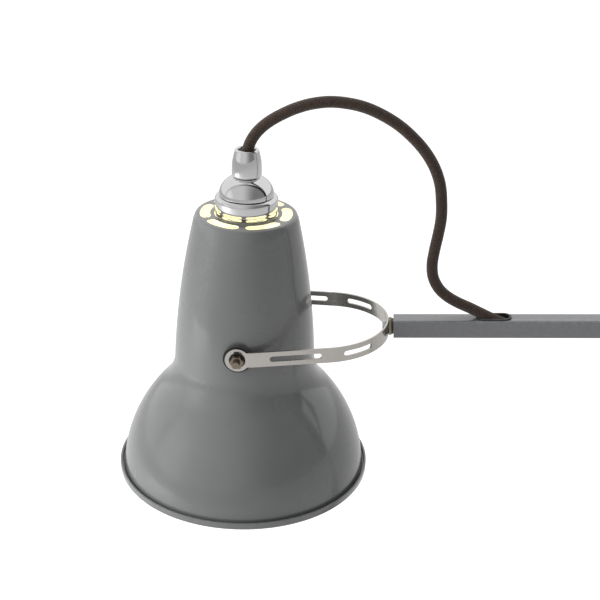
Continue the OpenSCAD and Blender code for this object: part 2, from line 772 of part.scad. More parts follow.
// A slot round the axis with full-round ends
module kidney(r0, r1, half, h) {
    mid = (r0 + r1) / 2;
    w = (r1 - r0) / 2;
    a = half - asin(w / mid);
    linear_extrude(h) polygon(concat(arc([0, 0], r1, -a, a, 8), arc(mid * [cos(a), sin(a)], w, a, a + half_turn, 8),
        arc([0, 0], r0, a, -a, 8), arc(mid * [cos(a), -sin(a)], w, half_turn - a, 2 * half_turn - a, 8)));
}

module shade_shell() {
    color("#7c7e7e") on_shade() difference() {
        shade_body();
        for (i = [0:5]) rotate(60 * i) translate([0, 0, top_z - 3]) kidney(20.6, top_r - 3, 25.5, 6);
        rotate([0, -shade_lean, 0]) mirrored_y() rod_y(pivot_d / 2 + run, 20, 60, 32);
    }
}

module gallery_plate() {
    color("#6e6f70") on_shade() translate([0, 0, top_z - shade_wall]) difference() {
        union() {
            cylinder(r = hole_r - 0.35, h = shade_wall + 0.4);
            translate([0, 0, -1]) cylinder(r = hole_r + 1.6, h = 1);
        }
        translate([0, 0, -2]) cylinder(r = 10.5, h = 6);
        for (i = [0:5]) rotate(60 * i) translate([0, 0, -2]) kidney(12.4, hole_r - 1.4, 25, 6);
    }
}

module holder_neck() {
    z0 = top_z - 20;
    color("#b9bbbd") on_shade() difference() {
        union() {
            translate([0, 0, z0]) cylinder(r = 10.5, h = dome_z - z0);
            translate([0, 0, top_z - shade_wall - 1 - 3]) cylinder(r = 11.9, h = 3);
        }
        translate([0, 0, z0 - 1]) cylinder(r = 9, h = 60);
    }
}

cap_wall = 1;
module cap_skirt() {
    color("#bfbfbf") on_shade() rotate_extrude($fn = 96) polygon(wall(concat([[cap_r - 0.3, skirt_z], [cap_r, skirt_z + 2]],
        arc([cap_r - 2.2, dome_z - 2.5], 2.2, 0, 85, 5), [[10.6, dome_z - 0.2]]), cap_wall));
}

module cap_dome() {
    grip_z = grip_top - grip_h;
    line = concat([[dome_r, dome_z]], [for (i = [1:8]) let (a = 62 * i / 8)
        [dome_r * cos(a), dome_z + (grip_z - dome_z) * sin(a) / sin(62)]]);
    color("#bfbfbf") on_shade() rotate_extrude($fn = 96) polygon(concat(line, [[flex_d / 2 + 0.4, grip_z],
        [flex_d / 2 + 0.4, grip_z - 1]], flip(shifted(line, 1))));
}

module cord_grip() {
    z0 = grip_top - grip_h;
    color("#bfbfbf") on_shade() rotate_extrude($fn = 96) polygon(concat([[flex_d / 2 + 0.4, z0], [7.2, z0]],
        arc([7.1, z0 + 1.4], 1.4, -60, 0, 3), [[8.3, z0 + 9], [6.9, grip_top - 1.2]],
        arc([5.7, grip_top - 1.2], 1.2, 10, 90, 3), [[5.2, grip_top - 0.4], [5, grip_top - 3], [flex_d / 2 + 0.4, grip_top - 5]]));
}

holder_z = top_z - 20;
module lampholder() {
    color("#e6e3da") on_shade() difference() {
        union() {
            translate([0, 0, holder_z - 26]) cylinder(r = 18, h = 24);
            translate([0, 0, holder_z - 2]) cylinder(r1 = 18, r2 = 14, h = 6);
            translate([0, 0, holder_z]) cylinder(r = 8.8, h = 12);
        }
        translate([0, 0, holder_z - 27]) cylinder(r = 14.8, h = 22);
        difference() {
            translate([0, 0, holder_z]) cylinder(r = 10.5, h = 8);
            translate([0, 0, holder_z - 1]) cylinder(r = 9, h = 10);
        }
    }
}

module screw_shell() {
    color("#b08d57") on_shade() translate([0, 0, holder_z - 26]) difference() {
        cylinder(r = 14.8, h = 21);
        translate([0, 0, -1]) cylinder(r = 13.6, h = 21);
    }
}

module bulb_cap() {
    z = holder_z - 7.5;
    color("#c3c5c7") on_shade() translate([0, 0, z]) rotate_extrude()
        polygon(wall([[0, 0], [4, 0], [5, -1.5], [10, -3], [13, -5], [13, -24]], -0.6));
}

glass_r = 30;
module bulb_glass() {
    z = holder_z - 7.5 - 19;
    ball = z - 53;
    color("#fff6e0") on_shade() rotate_extrude($fn = 96)
        polygon([for (p = wall(concat([[12.3, z], [12.3, z - 6]], arc([33.5, z - 16], 20, 168, 213, 4),
            arc([0, ball], glass_r, 40, -90, 10)), -0.8)) [max(p[0], 0), p[1]]]);
}

module pivot_bolts() {
    color("#a9abad") on_head() mirrored_y() {
        rod_y(pivot_d / 2, pivot_r - shade_wall - 3.9, eye_y + 6.4, 32);
        rod_y(pivot_d / 2 + 1.7, pivot_r - shade_wall - 4, pivot_r - shade_wall - 0.8, 32);
        ring_y(5.2, pivot_d / 2, pivot_r + 0.4, pivot_r + wall_gap - run);
    }
}

module pivot_nuts() {
    color("#b5ada2") on_head() mirrored_y() hex_nut(pivot_d / 2, boss_y + run, pivot_d * 1.75, 3.3);
}

/* ---------- free flex ---------- */

module head_flex() { color("#463a33") on_head() flex_tube(loop_pts, flex_d, [6, 100], entry_pts[1]); }
module entry_flex() {
    color("#463a33") on_head() flex_tube(entry_pts, flex_d, loop_pts[len(loop_pts) - 2], [arm_flex_x + 9, 0]);
}

base_cover();
base_weight();
base_plate();
foot_pad();
base_screws();
swivel_bush();
swivel_spindle();
spindle_clip();
turntable_plate();
cheek_left();
cheek_right();
cheek_screws();
spring_posts();
shoulder_bolt();
shoulder_nut();
shoulder_washers();
lower_arm_tube();
shoulder_knuckle();
elbow_knuckle();
fibre_washers();
lower_rivets();
cross_pin();
spring_anchor();
spring_left();
spring_right();
spring_centre();
crank_plates();
crank_pins();
link_rod();
link_rod_eyes();
upper_arm_tube();
elbow_plate_left();
elbow_plate_right();
elbow_bolt();
elbow_nut();
tail_pin();
plate_rivets();
tail_gland();
flex_grommet();
arm_flex();
arm_end_plug();
fork_band();
fork_stud();
fork_washer();
fork_spacer();
pivot_bushes();
shade_shell();
gallery_plate();
holder_neck();
cap_skirt();
cap_dome();
cord_grip();
lampholder();
screw_shell();
bulb_cap();
bulb_glass();
pivot_bolts();
pivot_nuts();
head_flex();
entry_flex();
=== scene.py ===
# Architect desk lamp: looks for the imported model, all in metres.
import json
import math

import bmesh
import bpy
from mathutils import Matrix, Vector

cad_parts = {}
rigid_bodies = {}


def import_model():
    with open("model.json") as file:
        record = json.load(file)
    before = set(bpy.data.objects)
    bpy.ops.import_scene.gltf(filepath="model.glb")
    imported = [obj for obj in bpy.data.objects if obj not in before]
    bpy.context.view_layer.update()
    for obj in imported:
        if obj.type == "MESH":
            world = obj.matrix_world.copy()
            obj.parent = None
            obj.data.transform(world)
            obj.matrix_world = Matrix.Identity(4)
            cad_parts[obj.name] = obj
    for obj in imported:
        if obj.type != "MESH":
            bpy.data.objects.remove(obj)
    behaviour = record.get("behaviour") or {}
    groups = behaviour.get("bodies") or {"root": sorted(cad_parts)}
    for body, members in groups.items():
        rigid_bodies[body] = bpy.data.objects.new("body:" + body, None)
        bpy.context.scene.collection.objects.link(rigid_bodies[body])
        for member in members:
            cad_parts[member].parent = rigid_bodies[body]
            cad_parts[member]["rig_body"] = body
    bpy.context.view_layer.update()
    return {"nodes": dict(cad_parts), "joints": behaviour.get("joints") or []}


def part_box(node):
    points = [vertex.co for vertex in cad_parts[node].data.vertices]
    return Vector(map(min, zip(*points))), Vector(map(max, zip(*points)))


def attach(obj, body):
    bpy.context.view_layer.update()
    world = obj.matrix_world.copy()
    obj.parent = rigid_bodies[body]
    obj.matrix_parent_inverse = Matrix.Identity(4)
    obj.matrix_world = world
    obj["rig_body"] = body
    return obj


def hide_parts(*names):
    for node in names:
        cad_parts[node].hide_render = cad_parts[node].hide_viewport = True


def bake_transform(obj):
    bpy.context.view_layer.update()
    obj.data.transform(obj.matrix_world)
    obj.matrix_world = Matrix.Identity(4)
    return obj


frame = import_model()
nodes = frame["nodes"]
scene = bpy.context.scene
turning = {j["name"]: Vector(j["pos_m"]) for j in frame["joints"]}
pivot = turning["shade_tilt"]         # where the shade hangs in its fork
shoulder = turning["shoulder"]
mm = 0.001


# ---- camera

cameraView = {"from": (0.0856, -0.6732, 0.3311), "lens": 76.31, "down": 24.96, "turn": 4.46, "roll": -1.89}


def placeCamera():
    v = cameraView
    down, turn, roll = (math.radians(v[k]) for k in ("down", "turn", "roll"))
    right = Vector((math.cos(turn), math.sin(turn), 0))
    ahead = Vector((-math.sin(turn) * math.cos(down), math.cos(turn) * math.cos(down), -math.sin(down)))
    up = right.cross(ahead)
    side = right * math.cos(roll) + up * math.sin(roll)
    top = up * math.cos(roll) - right * math.sin(roll)
    data = bpy.data.cameras.new("camera")
    data.lens, data.sensor_width = v["lens"], 36
    data.clip_start, data.clip_end = 0.01, 50
    cam = bpy.data.objects.new("camera", data)
    scene.collection.objects.link(cam)
    turned = Matrix((side, top, -ahead)).transposed().to_4x4()
    cam.matrix_world = Matrix.Translation(pivot + Vector(v["from"])) @ turned
    scene.camera = cam


placeCamera()
scene.view_settings.view_transform = "Standard"
print("camera placed")


# ---- shaping helpers

def smoothLine(points, step):
    # a soft curve through the given points, with a new point about every step
    pts = [Vector(p) for p in points]
    line = []
    for i in range(len(pts) - 1):
        a, b = pts[i], pts[i + 1]
        before = pts[i - 1] if i else a * 2 - b
        after = pts[i + 2] if i + 2 < len(pts) else b * 2 - a
        parts = max(1, round((b - a).length / step))
        for k in range(parts):
            t = k / parts
            line.append(0.5 * (2 * a + (b - before) * t + (2 * before - 5 * a + 4 * b - after) * t * t
                               + (3 * a - before - 3 * b + after) * t ** 3))
    return line + [pts[-1]]


def addTube(shape, line, radius, sides, side=(0, 1, 0)):
    # a ring extruded along a line; its UV runs along the tube in metres and once round it
    uv = shape.loops.layers.uv.verify()
    side, gone = Vector(side), 0
    for i, point in enumerate(line):
        ahead = (line[min(i + 1, len(line) - 1)] - line[max(i - 1, 0)]).normalized()
        side = (side - ahead * side.dot(ahead)).normalized()
        place = Matrix.Translation(point) @ Matrix((side, ahead.cross(side), ahead)).transposed().to_4x4()
        if not i:
            ring = bmesh.ops.create_circle(shape, segments=sides, radius=radius, matrix=place,
                                           cap_ends=True)["verts"]
            edges = list({e for v in ring for e in v.link_edges})
            before = place
            continue
        made = bmesh.ops.extrude_edge_only(shape, edges=edges)["geom"]
        ring = [g for g in made if isinstance(g, bmesh.types.BMVert)]
        faces = [g for g in made if isinstance(g, bmesh.types.BMFace)]
        bmesh.ops.transform(shape, matrix=place @ before.inverted(), verts=ring)
        new, back, step = set(ring), place.inverted(), (point - line[i - 1]).length
        edges = [e for e in {e for v in ring for e in v.link_edges} if new.issuperset(e.verts)]
        for face in faces:
            spots = []
            for loop in face.loops:
                flat = (back if loop.vert in new else before.inverted()) @ loop.vert.co
                spots.append(round(math.atan2(flat.y, flat.x) / math.tau * sides) % sides)
            wraps = 0 in spots and sides - 1 in spots
            for loop, spot in zip(face.loops, spots):
                placeRound = spot or (sides if wraps else 0)
                loop[uv].uv = (gone + (step if loop.vert in new else 0), placeRound / sides)
        gone, before = gone + step, place
    bmesh.ops.edgeloop_fill(shape, edges=edges)
    bmesh.ops.recalc_face_normals(shape, faces=shape.faces)


def spun(outline, steps=96):
    # an outline of (radius, height) in millimetres turned round the upright axis
    shape = bmesh.new()
    verts = [shape.verts.new((r * mm, 0, z * mm)) for r, z in outline]
    edges = [shape.edges.new(p) for p in zip(verts, verts[1:])]
    bmesh.ops.spin(shape, geom=verts + edges, cent=(0, 0, 0), axis=(0, 0, 1), angle=math.tau, steps=steps,
                   use_merge=True)
    bmesh.ops.remove_doubles(shape, verts=shape.verts, dist=1e-6)
    bmesh.ops.recalc_face_normals(shape, faces=shape.faces)
    return shape


def arcPoints(centre, radius, start, end, count):
    turn = [math.radians(start + (end - start) * i / count) for i in range(count + 1)]
    return [(centre[0] + radius * math.cos(t), centre[1] + radius * math.sin(t)) for t in turn]


def finishPiece(name, shape, body, materials, place=None, sharp=35, stands=()):
    # turns a shape into a piece that rides on a body and stands for CAD nodes
    if place is not None:
        bmesh.ops.transform(shape, matrix=place, verts=shape.verts)
    mesh = bpy.data.meshes.new(name)
    shape.to_mesh(mesh)
    shape.free()
    mesh.shade_smooth()
    mesh.set_sharp_from_angle(angle=math.radians(sharp))
    for m in materials if isinstance(materials, (list, tuple)) else [materials]:
        mesh.materials.append(m)
    piece = bpy.data.objects.new(name, mesh)
    scene.collection.objects.link(piece)
    if body:
        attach(piece, body)
    if stands:
        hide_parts(*stands)
    return piece


def easeEdges(piece, width, angle, harden=False):
    # a small round on every edge sharper than the angle, kept as a live modifier
    bevel = piece.modifiers.new("edges", "BEVEL")
    bevel.width, bevel.segments, bevel.limit_method = width * mm, 2, "ANGLE"
    bevel.angle_limit, bevel.harden_normals = math.radians(angle), harden


# ---- finishes

dirt = {"dust": (0.5, 0.48, 0.45), "dustOnDark": (0.35, 0.33, 0.3), "bareMetal": (0.45, 0.45, 0.44)}


def addGroup(name, inputs, outputs):
    tree = bpy.data.node_groups.new(name, "ShaderNodeTree")
    for label, kind, value in inputs:
        socket = tree.interface.new_socket(label, in_out="INPUT", socket_type="NodeSocket" + kind)
        if value is not None:
            socket.default_value = value
    for label, kind in outputs:
        tree.interface.new_socket(label, in_out="OUTPUT", socket_type="NodeSocket" + kind)
    return tree, tree.nodes.new("NodeGroupInput"), tree.nodes.new("NodeGroupOutput")


def addNode(tree, kind, values=(), **settings):
    # values go to sockets by name or number; a socket is linked, anything else is set
    node = tree.nodes.new("ShaderNode" + kind)
    for k, v in settings.items():
        setattr(node, k, v)
    for k, v in dict(values).items():
        if isinstance(v, bpy.types.NodeSocket):
            tree.links.new(v, node.inputs[k])
        else:
            node.inputs[k].default_value = v
    return node


def addMath(tree, operation, *values, clamp=False):
    node = addNode(tree, "Math", enumerate(values), operation=operation, use_clamp=clamp)
    return node.outputs[0]


def addRange(tree, value, low, high, toLow=0.0, toHigh=1.0, smooth=False):
    kind = "SMOOTHSTEP" if smooth else "LINEAR"
    return addNode(tree, "MapRange", [(0, value), (1, low), (2, high), (3, toLow), (4, toHigh)],
                   interpolation_type=kind).outputs[0]


def addMix(tree, share, a, b):
    node = addNode(tree, "Mix", data_type="RGBA")
    for socket, v in ((node.inputs[0], share), (node.inputs[6], a), (node.inputs[7], b)):
        if isinstance(v, bpy.types.NodeSocket):
            tree.links.new(v, socket)
        else:
            socket.default_value = v
    return node.outputs[2]


def cloudsGroup():
    # slow patches and fine specks, both about 0.5
    tree, given, out = addGroup("clouds", [("Vector", "Vector", None), ("Patch", "Float", 30),
                                           ("Speck", "Float", 900)], [("Patches", "Float"), ("Specks", "Float")])
    for label, detail, name in (("Patch", 3, "Patches"), ("Speck", 2, "Specks")):
        noise = addNode(tree, "TexNoise", {"Vector": given.outputs["Vector"], "Scale": given.outputs[label],
                                           "Detail": detail, "Roughness": 0.6})
        tree.links.new(addRange(tree, noise.outputs[0], 0.25, 0.75, smooth=True), out.inputs[name])
    return tree


def dustGroup():
    # thin dust on what faces up, broken by patches
    tree, given, out = addGroup("dust", [("Vector", "Vector", None), ("Amount", "Float", 0.3)],
                                [("Mask", "Float")])
    upward = addNode(tree, "SeparateXYZ", {0: addNode(tree, "NewGeometry").outputs["Normal"]}).outputs[2]
    noise = addNode(tree, "TexNoise", {"Vector": given.outputs["Vector"], "Scale": 90, "Detail": 6,
                                       "Roughness": 0.7})
    mask = addMath(tree, "MULTIPLY", addRange(tree, upward, 0.2, 1, smooth=True),
                   addRange(tree, noise.outputs[0], 0.35, 0.75))
    tree.links.new(addMath(tree, "MULTIPLY", mask, given.outputs["Amount"]), out.inputs[0])
    return tree


def wearGroup():
    # edges rubbed by hands: convex places, broken by specks
    tree, given, out = addGroup("wear", [("Vector", "Vector", None), ("Amount", "Float", 0.5)],
                                [("Mask", "Float")])
    convex = addRange(tree, addNode(tree, "NewGeometry").outputs["Pointiness"], 0.52, 0.6)
    noise = addNode(tree, "TexNoise", {"Vector": given.outputs["Vector"], "Scale": 400, "Detail": 4})
    mask = addMath(tree, "MULTIPLY", convex, addRange(tree, noise.outputs[0], 0.35, 0.6))
    tree.links.new(addMath(tree, "MULTIPLY", mask, given.outputs["Amount"], clamp=True), out.inputs[0])
    return tree


def grainGroup():
    # fine lines left by brushing or turning, drawn out along one direction
    tree, given, out = addGroup("grain", [("Vector", "Vector", None), ("Stretch", "Vector", (1, 1, 1)),
                                          ("Scale", "Float", 1500)],
                                [("Lines", "Float"), ("Scratches", "Float")])
    drawn = addNode(tree, "VectorMath", [(0, given.outputs["Vector"]), (1, given.outputs["Stretch"])],
                    operation="MULTIPLY").outputs[0]
    fine = addNode(tree, "TexNoise", {"Vector": drawn, "Scale": given.outputs["Scale"], "Detail": 3})
    wider = addMath(tree, "MULTIPLY", given.outputs["Scale"], 0.23)
    coarse = addNode(tree, "TexNoise", {"Vector": drawn, "Scale": wider, "Detail": 2})
    tree.links.new(addRange(tree, fine.outputs[0], 0.3, 0.7), out.inputs[0])
    tree.links.new(addRange(tree, coarse.outputs[0], 0.62, 0.72), out.inputs[1])
    return tree


def braidGroup():
    # two sets of threads crossing over and under; UV runs along the cord in metres and once round it
    tree, given, out = addGroup("braid", [("Threads", "Float", 12), ("Slant", "Float", 700)],
                                [("Height", "Float"), ("Thread", "Float"), ("Fibre", "Float")])
    flat = addNode(tree, "SeparateXYZ", {0: addNode(tree, "UVMap").outputs[0]})
    along = addMath(tree, "MULTIPLY", flat.outputs[0], given.outputs["Slant"])
    around = addMath(tree, "MULTIPLY", flat.outputs[1], given.outputs["Threads"])
    one, two = addMath(tree, "ADD", along, around), addMath(tree, "SUBTRACT", along, around)
    cells = [addMath(tree, "FLOOR", x) for x in (one, two)]
    over = addMath(tree, "PINGPONG", addMath(tree, "ADD", *cells), 1.0)

    def thread(x, length):
        across = addMath(tree, "SUBTRACT", addMath(tree, "MULTIPLY", addMath(tree, "FRACT", x), 2.0), 1.0)
        bulge = addMath(tree, "SUBTRACT", 1.0, addMath(tree, "MULTIPLY", across, across))
        crown = addMath(tree, "SINE", addMath(tree, "MULTIPLY", addMath(tree, "FRACT", length), math.pi))
        return addMath(tree, "MULTIPLY", addMath(tree, "SQRT", bulge),
                       addRange(tree, crown, 0, 1, 0.45, 1.0))

    first, second = thread(one, two), thread(two, one)
    height = addMath(tree, "ADD", addMath(tree, "MULTIPLY", first, over),
                     addMath(tree, "MULTIPLY", second, addMath(tree, "SUBTRACT", 1.0, over)))
    tree.links.new(height, out.inputs["Height"])
    spot = addNode(tree, "CombineXYZ", {0: cells[0], 1: cells[1], 2: over})
    tree.links.new(addNode(tree, "TexWhiteNoise", {0: spot.outputs[0]}).outputs[0], out.inputs["Thread"])
    strands = 5.0                     # loose fibres in each thread
    lines = addNode(tree, "CombineXYZ", {0: addMath(tree, "MULTIPLY", one, strands),
                                         1: addMath(tree, "MULTIPLY", two, strands)})
    fibre = addNode(tree, "TexNoise", {"Vector": lines.outputs[0], "Scale": 1.0, "Detail": 3})
    tree.links.new(fibre.outputs[0], out.inputs["Fibre"])
    return tree


clouds, dust, wear, grain, braid = cloudsGroup(), dustGroup(), wearGroup(), grainGroup(), braidGroup()


def newMaterial(name):
    mat = bpy.data.materials.new(name)
    mat.use_nodes = True
    tree = mat.node_tree
    shader = tree.nodes["Principled BSDF"]
    where = tree.nodes.new("ShaderNodeTexCoord").outputs["Object"]
    return mat, tree, shader, where


def addBump(tree, shader, height, distance, strength=1.0):
    bump = addNode(tree, "Bump", {"Height": height, "Distance": distance, "Strength": strength})
    tree.links.new(bump.outputs[0], shader.inputs["Normal"])


def coloured(rgb, k=1.0):
    return tuple(c * k for c in rgb) + (1,)


def paintFinish(name, rgb, rough, worn, dusty, peel=0.012, coat=0.0):
    # sprayed enamel: a faint orange peel, cloudy gloss, rubbed edges and a little dust
    mat, tree, shader, where = newMaterial(name)
    cloud = addNode(tree, "Group", {"Vector": where, "Patch": 22, "Speck": 1100}, node_tree=clouds)
    tone = addMix(tree, cloud.outputs["Patches"], coloured(rgb, 0.95), coloured(rgb, 1.04))
    rubbed = addNode(tree, "Group", {"Vector": where, "Amount": worn}, node_tree=wear)
    fallen = addNode(tree, "Group", {"Vector": where, "Amount": dusty}, node_tree=dust)
    tone = addMix(tree, rubbed.outputs[0], tone, coloured(dirt["bareMetal"]))
    tone = addMix(tree, fallen.outputs[0], tone, coloured(dirt["dust"]))
    tree.links.new(tone, shader.inputs["Base Color"])
    gloss = addMath(tree, "ADD", addRange(tree, cloud.outputs["Patches"], 0, 1, rough - 0.04, rough + 0.05),
                    addMath(tree, "MULTIPLY", fallen.outputs[0], 0.6))
    tree.links.new(gloss, shader.inputs["Roughness"])
    shader.inputs["Coat Weight"].default_value = coat
    shader.inputs["Coat Roughness"].default_value = 0.07
    addBump(tree, shader, cloud.outputs["Specks"], peel * mm, 0.35)
    return mat


def metalFinish(name, rgb, rough, stretch=(1, 1, 1), scale=1500, lines=0.02, dusty=0.15, stain=0.12,
                relief=0.004):
    # bare or plated metal: drawn lines, odd scratches, cloudy handling marks and dust on top
    mat, tree, shader, where = newMaterial(name)
    shader.inputs["Metallic"].default_value = 1
    drawn = addNode(tree, "Group", {"Vector": where, "Stretch": stretch, "Scale": scale}, node_tree=grain)
    cloud = addNode(tree, "Group", {"Vector": where, "Patch": 60, "Speck": 700}, node_tree=clouds)
    fallen = addNode(tree, "Group", {"Vector": where, "Amount": dusty}, node_tree=dust)
    marks = addMath(tree, "MULTIPLY", addRange(tree, cloud.outputs["Patches"], 0.35, 0.9), stain, clamp=True)
    tone = addMix(tree, marks, coloured(rgb), coloured(rgb, 0.72))
    tone = addMix(tree, fallen.outputs[0], tone, coloured(dirt["dust"]))
    tree.links.new(tone, shader.inputs["Base Color"])
    gloss = addMath(tree, "ADD", addRange(tree, drawn.outputs[0], 0, 1, rough - lines, rough + lines),
                    addMath(tree, "ADD", addMath(tree, "MULTIPLY", marks, 0.5),
                            addMath(tree, "MULTIPLY", drawn.outputs[1], 0.12)))
    tree.links.new(addMath(tree, "ADD", gloss, fallen.outputs[0], clamp=True), shader.inputs["Roughness"])
    addBump(tree, shader, drawn.outputs[0], relief * mm, 0.5)
    return mat


def paintedBulbLight(material, low, high, dim, bright):
    # painted bulb light: an emission on an inner face, warmer and brighter up in the neck, stands in for the
    # bulb's light falling on it
    tree = material.node_tree
    shader = tree.nodes["Principled BSDF"]
    where = tree.nodes.new("ShaderNodeTexCoord").outputs["Object"]
    height = addNode(tree, "SeparateXYZ", {0: where}).outputs[2]
    tree.links.new(addMix(tree, addRange(tree, height, low, high), dim, bright),
                   shader.inputs["Emission Color"])
    shader.inputs["Emission Strength"].default_value = 1.0
    return material


def softFinish(name, rgb, rough, relief=0.03, dusty=0.3):
    # rubber, fibre and moulded plastic: a fine moulded skin with dust
    mat, tree, shader, where = newMaterial(name)
    cloud = addNode(tree, "Group", {"Vector": where, "Patch": 50, "Speck": 900}, node_tree=clouds)
    fallen = addNode(tree, "Group", {"Vector": where, "Amount": dusty}, node_tree=dust)
    tone = addMix(tree, cloud.outputs["Patches"], coloured(rgb, 0.8), coloured(rgb, 1.25))
    tree.links.new(addMix(tree, fallen.outputs[0], tone, coloured(dirt["dustOnDark"])),
                   shader.inputs["Base Color"])
    tree.links.new(addRange(tree, cloud.outputs["Specks"], 0, 1, rough - 0.08, rough + 0.08),
                   shader.inputs["Roughness"])
    addBump(tree, shader, cloud.outputs["Specks"], relief * mm, 0.6)
    return mat


def braidFinish(name, dark, light, threads, slant):
    # cotton braid: threads over and under, each a little different, with loose fibre on top; the gaps between
    # threads carry painted shade and the threads' crowns a painted highlight
    mat, tree, shader, where = newMaterial(name)
    woven = addNode(tree, "Group", {"Threads": threads, "Slant": slant}, node_tree=braid)
    # painted shade and highlight: colour runs from dark in the gaps between threads to light on their crowns
    shade = addMath(tree, "MULTIPLY", addRange(tree, woven.outputs["Height"], 0.25, 0.95),
                    addRange(tree, woven.outputs["Thread"], 0, 1, 0.55, 1.0))
    tone = addMix(tree, shade, coloured(dark), coloured(light))
    tone = addMix(tree, addRange(tree, woven.outputs["Fibre"], 0.5, 0.75), tone, coloured(light, 1.35))
    tree.links.new(tone, shader.inputs["Base Color"])
    shader.inputs["Roughness"].default_value = 0.85
    shader.inputs["Sheen Weight"].default_value = 0.25
    shader.inputs["Sheen Roughness"].default_value = 0.5
    loose = addMath(tree, "MULTIPLY", woven.outputs["Fibre"], 0.25)
    height = addMath(tree, "ADD", woven.outputs["Height"], loose)
    addBump(tree, shader, height, 0.35 * mm, 0.9)
    return mat


finish = {
    "shadePaint": paintFinish("shade_enamel", (0.165, 0.169, 0.169), rough=0.24, peel=0.003, worn=0.06, dusty=0,
                              coat=0.8),
    "armPaint": paintFinish("arm_enamel", (0.158, 0.161, 0.169), rough=0.24, peel=0.003, worn=0.2, dusty=0,
                            coat=0.8),
    # the inside enamel is white, with painted bulb light glowing on it
    "whitePaintAndGlow": paintedBulbLight(paintFinish("inside_enamel_painted_glow", (0.8, 0.78, 0.7), rough=0.5, worn=0.0, dusty=0.05),
                             pivot.z - 0.06, pivot.z + 0.04, (0.08, 0.07, 0.035, 1), (0.45, 0.42, 0.25, 1)),
    "chrome": metalFinish("chrome_plate", (0.76, 0.76, 0.765), 0.06, scale=900, lines=0.01, dusty=0.05,
                          stain=0.06, relief=0.001),
    "forkSteel": metalFinish("fork_strip", (0.6, 0.575, 0.54), 0.2, (0.08, 0.08, 1), 2400, 0.05, dusty=0.06),
    "bronzed": metalFinish("bronzed_steel", (0.27, 0.23, 0.18), 0.24, scale=1200, lines=0.03, relief=0.001),
    "steel": metalFinish("bright_steel", (0.62, 0.62, 0.63), 0.22, scale=1200, lines=0.03, relief=0.001),
    "zinc": metalFinish("zinc_plate", (0.5, 0.52, 0.54), 0.34, scale=900, lines=0.03, stain=0.14,
                        relief=0.001),
    "brass": metalFinish("brass", (0.62, 0.45, 0.2), 0.26, scale=1500, stain=0.2),
    "aluminium": metalFinish("turned_aluminium", (0.7, 0.71, 0.72), 0.26, (0.1, 0.1, 1), 2600, 0.06),
    "springWire": metalFinish("spring_wire", (0.55, 0.56, 0.58), 0.24, scale=1600, stain=0.12, relief=0.001),
    "castIron": metalFinish("cast_iron", (0.07, 0.07, 0.075), 0.6, scale=300, lines=0.1, relief=0.2),
    "rubber": softFinish("black_rubber", (0.018, 0.018, 0.019), 0.5),
    "fibre": softFinish("pressed_fibre", (0.05, 0.03, 0.02), 0.7),
    # the porcelain holder carries painted bulb light as a glow, brighter higher up
    "porcelain": paintedBulbLight(softFinish("glazed_porcelain_painted_glow", (0.74, 0.72, 0.66), 0.18, relief=0.004, dusty=0.1),
                            pivot.z + 0.02, pivot.z + 0.05, (0.12, 0.1, 0.06, 1), (0.55, 0.5, 0.3, 1)),
    "braid": braidFinish("cotton_braid", (0.006, 0.0035, 0.0025), (0.068, 0.038, 0.024), threads=10, slant=560),
}
print("finishes made:", len(finish))


# ---- flex: one braided cord, in the two lengths that the fork's swivel parts

flex = {"diameter": 0.0065, "sides": 28, "step": 0.0012,
        "grip": (10, 110), "meet": (114, 24), "slot": (142, 6.5)}     # points on the cord at the grip, where the two lengths meet, and at the arm's slot
# (along, up) from the shade's pivot, in millimetres
loopRoute = [(6, 104), (7, 110), (9.5, 115.5), (13.5, 120.5), (19, 125), (26, 129), (34, 132.5), (43, 135),
             (53, 136), (63, 135), (72.5, 132.5), (82, 128), (91, 122), (99, 114.5), (105.5, 106.5), (110.5, 97.5),
             (113.5, 88), (114.5, 78), (114.5, 68), (113, 58), (111, 48), (109.8, 39), (110.6, 31), (114, 24)]
entryRoute = [(114.06, 23.92), (119, 19), (125, 15.2), (131.5, 12), (138, 8.6), (145, 4.9), (151.5, 2.1),
              (158, 0.5), (166, 0), (175, 0)]


def pastPivot(route):
    return [pivot + Vector((x, 0, z)) * mm for x, z in route]


def makeFlex():
    whole = smoothLine(pastPivot(loopRoute + entryRoute[1:]), flex["step"])
    meet = min(range(len(whole)), key=lambda i: (whole[i] - pastPivot([loopRoute[-1]])[0]).length)
    grip, middle, slot = pastPivot([flex["grip"], flex["meet"], flex["slot"]])
    ways = (("headFlex", whole[:meet + 1], "shade", "fork", grip, middle, "head_flex"),
            ("entryFlex", whole[meet:], "fork", "upper_arm", middle, slot, "entry_flex"))
    for name, line, one, two, start, end, node in ways:
        shape = bmesh.new()
        addTube(shape, line, flex["diameter"] / 2, flex["sides"])
        piece = finishPiece(name, shape, None, finish["braid"], sharp=60, stands=[node])
        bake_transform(piece)


makeFlex()


# ---- springs: close coils with a hook at each end

springs = {"wire": 0.0019, "around": 20, "wireSides": 8, "packing": 1.12, "hookEye": 0.0036}
# foot and head are the two pins' centres from the shoulder; plain is how far a hook reaches before the coil
# starts; give is a length measured from each spring's foot
sideSpring = {"foot": (0.0, 0.0, 0.034), "head": (0.0625, 0, 0.1473), "across": 0.01975, "outer": 0.013,
              "plain": 0.015, "give": 0.036}
centreSpring = {"foot": (-0.024, 0, 0), "head": (0.06135, 0, 0.1869), "across": 0, "outer": 0.011,
                "plain": 0.018, "give": 0.03}


